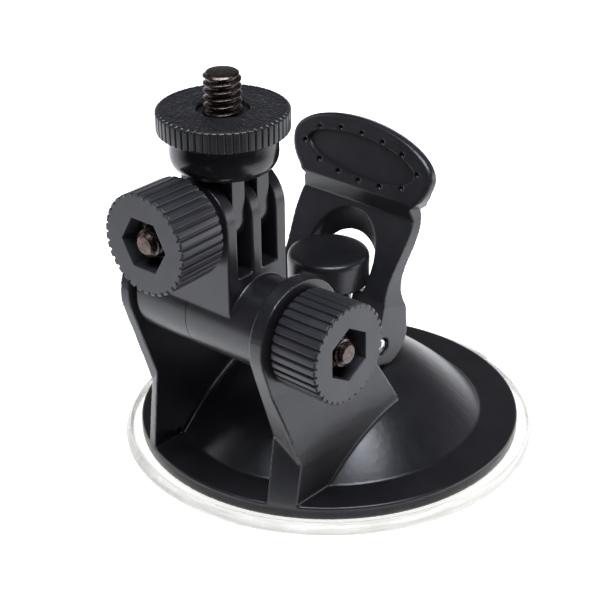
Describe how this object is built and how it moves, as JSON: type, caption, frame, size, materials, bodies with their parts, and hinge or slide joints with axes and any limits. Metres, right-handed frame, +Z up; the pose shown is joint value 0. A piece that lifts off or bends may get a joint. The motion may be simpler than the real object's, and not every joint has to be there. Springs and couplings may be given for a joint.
{
  "type": "suction cup camera mount",
  "caption": "Suction-cup mount with a cam lever, a tilting arm between two cheeks and a swivel head that carries a camera on a threaded stud behind a knurled ring.",
  "frame": {"origin": "centre of the suction cup's resting face", "axes": "+Z up through the cup and parallel to the camera stud at rest; +X along the arm's cross barrel towards its clamping knob; -Y the side the arm stands on, +Y the side the cam lever folds towards"},
  "size_m": [0.0766, 0.0904, 0.0782],
  "materials": {
    "black_abs": "satin moulded",
    "gloss_black": "gloss moulded",
    "washer_plastic": "matte",
    "clear_pvc": "clear soft plastic",
    "dark_steel": "blackened",
    "bright_steel": "zinc plated"
  },
  "bodies": {
    "base": {"suction_cup": "clear_pvc", "base_housing": "black_abs", "barrel_bolt": "dark_steel", "cheek_washer": "dark_steel", "pivot_washer_right": "washer_plastic", "pivot_washer_left": "washer_plastic"},
    "plunger": {"plunger_stem": "black_abs", "plunger_cap": "gloss_black", "cross_pin": "bright_steel"},
    "lever": {"cam_lever": "black_abs"},
    "arm": {"tilt_arm": "black_abs", "head_bolt": "dark_steel", "fin_washer": "dark_steel"},
    "lower_knob": {"barrel_knob": "black_abs", "barrel_knob_nut": "bright_steel"},
    "upper_knob": {"head_knob": "black_abs", "head_knob_nut": "bright_steel"},
    "head": {"tripod_head": "gloss_black", "camera_stud": "dark_steel"},
    "ring": {"locking_ring": "black_abs", "ring_insert": "dark_steel"}
  },
  "joints": [
    {"name": "plunger_lift", "type": "slide", "parent": "base", "child": "plunger", "axis": [0, 0, 1], "range_m": [0, 0.00251]},
    {"name": "lever_fold", "type": "hinge", "parent": "plunger", "child": "lever", "pos_m": [0, 0, 0.0205], "axis": [-1, 0, 0], "range_deg": [0, 78]},
    {"name": "arm_tilt", "type": "hinge", "parent": "base", "child": "arm", "pos_m": [0, -0.0263, 0.0351], "axis": [1, 0, 0], "range_deg": [-20, 90]},
    {"name": "head_swivel", "type": "hinge", "parent": "arm", "child": "head", "pos_m": [0, -0.0265, 0.0541], "axis": [0, 1, 0], "range_deg": [-75, 75]},
    {"name": "lower_knob_turn", "type": "hinge", "parent": "base", "child": "lower_knob", "pos_m": [0.02175, -0.0263, 0.0351], "axis": [1, 0, 0], "continuous": true},
    {"name": "upper_knob_turn", "type": "hinge", "parent": "arm", "child": "upper_knob", "pos_m": [0, -0.041, 0.0541], "axis": [0, -1, 0], "continuous": true},
    {"name": "ring_turn", "type": "hinge", "parent": "head", "child": "ring", "pos_m": [0, -0.0265, 0.07], "axis": [0, 0, 1], "continuous": true}
  ],
  "couplings": [
    {"joint": "plunger_lift", "follows": "lever_fold", "m_per_rad": 0.00184}
  ]
}
